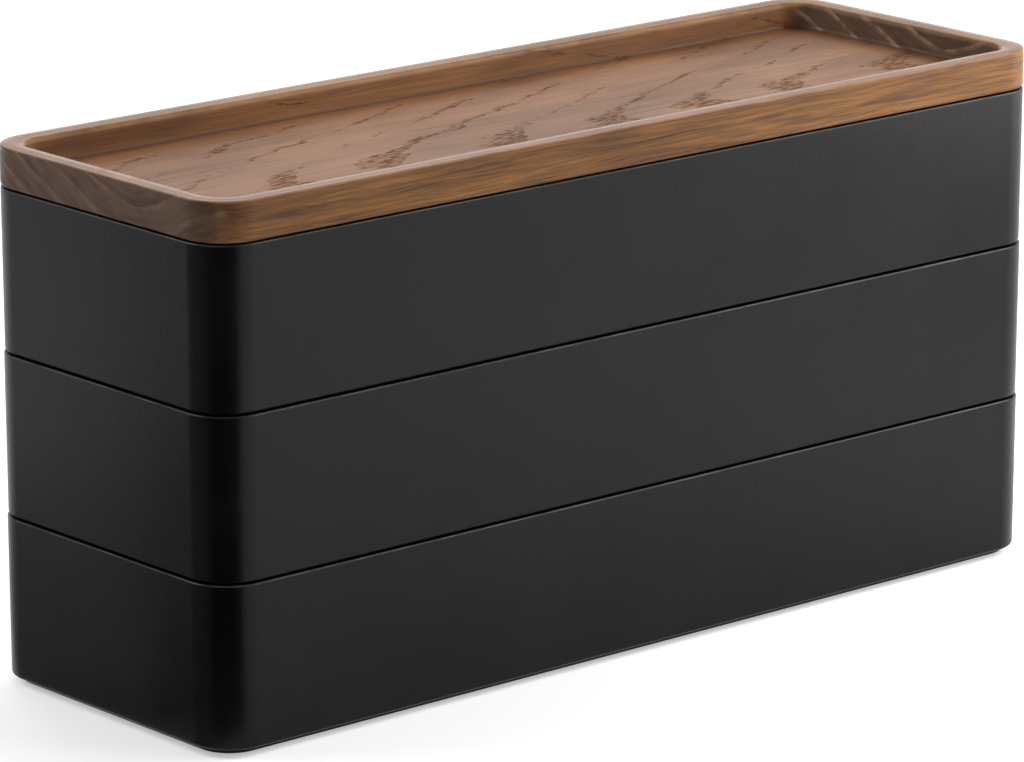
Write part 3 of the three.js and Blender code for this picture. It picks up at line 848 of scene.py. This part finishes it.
def lid_rings():
    """Outlines up the outside of the lid and down into its recess, with each one's wear."""
    low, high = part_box("lid_tray")
    length = high.x - low.x
    width = high.y - low.y
    shoulder = low.z + LID_PLUG_HEIGHT
    floor = high.z - RECESS_DEPTH
    edge_top = high.z - RIM_CROWN
    wall_foot = LID_RIM + RECESS_WALL_LEAN
    plug_edge = (STEP_INSET + PLUG_EDGE_RADIUS, low.z + PLUG_EDGE_RADIUS)
    lower_edge = (LID_LOWER_EDGE_RADIUS, shoulder + LID_LOWER_EDGE_RADIUS)
    outer_edge = (LID_OUTER_EDGE_RADIUS, edge_top - LID_OUTER_EDGE_RADIUS)
    inner_edge = (LID_RIM - LID_INNER_EDGE_RADIUS, edge_top - LID_INNER_EDGE_RADIUS)
    cove = (wall_foot + RECESS_COVE_RADIUS, floor + RECESS_COVE_RADIUS)
    corners = (CORNER_RADIUS, RECESS_CORNER_RADIUS + LID_RIM)
    stretches = [
        (arc(plug_edge, PLUG_EDGE_RADIUS, 270, 180, 4), no_wear, corners[0]),
        ([(STEP_INSET, shoulder)], no_wear, corners[0]),
        (arc(lower_edge, LID_LOWER_EDGE_RADIUS, 270, 180, 5), no_wear, corners[0]),
        (arc(outer_edge, LID_OUTER_EDGE_RADIUS, 180, 90, 8), edge_wear, corners[0]),
    ]
    for point, corner in rim_crown((outer_edge[0], edge_top), (inner_edge[0], edge_top), corners):
        stretches.append(([point], no_wear, corner))
    stretches += [
        (arc(inner_edge, LID_INNER_EDGE_RADIUS, 90, 0, 10), edge_wear, corners[1]),
        (arc(cove, RECESS_COVE_RADIUS, 180, 270, 10), no_wear, corners[1]),
    ]
    rings = []
    wear = []
    for points, worn, corner in stretches:
        wear += worn(points)
        for inset, z in points:
            rings.append(rounded_outline(length - 2 * inset, width - 2 * inset, corner - inset, z))
    return rings, wear


rings, wear = lid_rings()
wood = stained_wood(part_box("lid_tray")[1])
lid = skinned("lid_board", rings, wood, wear)
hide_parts("lid_tray")
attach(lid, "lid")

# Studio
# A white table in a pale room with a dim ceiling, lit by five soft lamps around the box and a small one
# close on the right. The cards and the mat beside the near corner show in reflections only, and keep the
# black trays dark there.
FLOOR_SIZE = 12
FLOOR_WHITE = (0.86, 0.86, 0.86, 1)
FLOOR_GLOW = (0.42, 1.0)  # at the front of the box, and further out
GLOW_REACH = 0.30  # how far out the glow is full
CEILING_LIGHT = 0.3
MATT_ROUGHNESS = 0.9
WALL_TOP = (0.05, 0.45)  # upward part of a ray's direction where the white walls begin to fade, and end
CARD_REACH = (0.03, 0.6)  # of the near and far edge, from the middle of the near corner's round
CARD_RISE = (0.001, 0.16)  # of the near and far edge, above the table
NEAR_CARD = {"bearings": (-82, -6), "shade": 0.005}
LEFT_CARD = {"bearings": (-142, -82), "shade": 0.30}
# The mat is a grey sheet that stands in, in reflections only, for shade on the table beside the left end
MAT_X = (-0.24, -0.125)
MAT_Y = (-0.06, 0.16)
MAT_Z = 0.001
MAT_SHADE = 0.65
LAMPS = {
    "key_lamp": {"place": (0.74, 0.95, 1.25), "size": (1.3, 1.3), "power": 10.0},
    "back_lamp": {"place": (1.44, 1.66, 0.95), "size": (3.2, 1.5), "power": 7.0},
    "edge_lamp": {"place": (0.95, -0.39, 1.09), "size": (0.4, 0.4), "power": 4.5},
    "front_lamp": {"place": (0.88, -0.88, 0.80), "size": (0.9, 0.9), "power": 7.6},
    "left_lamp": {"place": (-0.78, 0.78, 0.90), "size": (0.8, 0.8), "power": 7.3},
    "right_lamp": {"place": (0.24, -0.14, 0.15), "size": (0.16, 0.16), "power": 0.38},
}
CAMERA_AZIMUTH = -41.1
CAMERA_ELEVATION = 14.95
CAMERA_DISTANCE = 1.389
CAMERA_LENS = 215.0
CAMERA_AIM_RIGHT = -4.0 * MM
CAMERA_AIM_UP = -6.0 * MM


def bearing(degrees):
    """Level direction: 0 points to the front of the box, and 90 to its right."""
    turn = math.radians(degrees)
    return Vector((math.sin(turn), -math.cos(turn), 0))


def seen_directly(tree):
    """1 for rays that come from the camera, straight or by reflection or through glass."""
    path = tree.nodes.new("ShaderNodeLightPath").outputs
    mirrored = calc(tree, "MAXIMUM", path["Is Glossy Ray"], path["Is Transmission Ray"])
    return calc(tree, "MAXIMUM", path["Is Camera Ray"], mirrored)


def level_corners(along_x, along_y, z):
    """Corners of a level rectangle between two places along X and two along Y."""
    left, right = along_x
    front, back = along_y
    return [(left, front, z), (right, front, z), (right, back, z), (left, back, z)]


def sheet_of(name, corners, material):
    mesh = bpy.data.meshes.new(name)
    mesh.from_pydata(corners, [], [(0, 1, 2, 3)])
    mesh.materials.append(material)
    made = bpy.data.objects.new(name, mesh)
    bpy.context.scene.collection.objects.link(made)
    return made


def white_table():
    material, tree, shader = new_material("white table")
    shader.inputs["Base Color"].default_value = FLOOR_WHITE
    shader.inputs["Roughness"].default_value = MATT_ROUGHNESS
    shader.inputs["Specular IOR Level"].default_value = 0.0
    shader.inputs["Emission Color"].default_value = (1, 1, 1, 1)
    front = cad_box[0].y
    # Painted light: the table glows less at the front of the box, so it and its reflections are darker
    # there, like a shadow
    glow = spread(tree, split(tree, own_place(tree))["Y"], front, front - GLOW_REACH, *FLOOR_GLOW)
    feed(tree, shader.inputs["Emission Strength"], calc(tree, "MULTIPLY", seen_directly(tree), glow))
    return material


def shade_card(name, corners, shade):
    """A card of one grey that only reflections show."""
    material, tree, shader = new_material(name)
    shader.inputs["Base Color"].default_value = (shade, shade, shade, 1)
    shader.inputs["Roughness"].default_value = MATT_ROUGHNESS
    shader.inputs["Specular IOR Level"].default_value = 0.0
    card = sheet_of(name, corners, material)
    card.visible_camera = False
    card.visible_diffuse = False
    card.visible_shadow = False


def leaning_card(name, bearings, shade):
    """A card that leans away from the near corner between two bearings."""
    near_corner = Vector((cad_box[0].x + CORNER_RADIUS, cad_box[0].y + CORNER_RADIUS, 0))
    corners = []
    for reach, rise, sides in zip(CARD_REACH, CARD_RISE, (bearings, reversed(bearings))):
        for side in sides:
            corners.append(near_corner + bearing(side) * reach + Vector((0, 0, rise)))
    shade_card(name, corners, shade)


def soft_lamp(name, aim, place, size, power):
    lamp = bpy.data.lights.new(name, "AREA")
    lamp.shape = "RECTANGLE"
    lamp.size = size[0]
    lamp.size_y = size[1]
    lamp.energy = power
    made = bpy.data.objects.new(name, lamp)
    made.location = place
    made.rotation_euler = (Vector(aim) - Vector(place)).to_track_quat("-Z", "Y").to_euler()
    made.visible_camera = False
    bpy.context.scene.collection.objects.link(made)


table_reach = (-FLOOR_SIZE / 2, FLOOR_SIZE / 2)
sheet_of("table_top", level_corners(table_reach, table_reach, 0), white_table())

leaning_card("near_card", **NEAR_CARD)
leaning_card("left_card", **LEFT_CARD)
shade_card("left_mat", level_corners(MAT_X, MAT_Y, MAT_Z), MAT_SHADE)

middle = (cad_box[0] + cad_box[1]) / 2
for name, lamp in LAMPS.items():
    soft_lamp(name, middle, **lamp)

world = bpy.data.worlds.new("white room")
world.use_nodes = True
room = world.node_tree
background = room.nodes["Background"]
background.inputs["Color"].default_value = (1, 1, 1, 1)
look_up = split(room, room.nodes.new("ShaderNodeTexCoord").outputs["Generated"])["Z"]
walls = spread(room, look_up, *WALL_TOP, 1.0 - CEILING_LIGHT, 0.0)
lit = calc(room, "MULTIPLY_ADD", seen_directly(room), walls, CEILING_LIGHT)
feed(room, background.inputs["Strength"], lit)
bpy.context.scene.world = world

camera_data = bpy.data.cameras.new("camera")
camera_data.sensor_width = 36
camera_data.lens = CAMERA_LENS
camera = bpy.data.objects.new("camera", camera_data)
elevation = math.radians(CAMERA_ELEVATION)
back = bearing(CAMERA_AZIMUTH) * math.cos(elevation) + Vector((0, 0, math.sin(elevation)))
view_right = bearing(CAMERA_AZIMUTH + 90)
view_up = back.cross(view_right)
aim = middle + view_right * CAMERA_AIM_RIGHT + view_up * CAMERA_AIM_UP
camera.location = aim + back * CAMERA_DISTANCE
camera.rotation_euler = back.to_track_quat("Z", "Y").to_euler()
bpy.context.scene.collection.objects.link(camera)
bpy.context.scene.camera = camera
bpy.context.scene.view_settings.view_transform = "Standard"
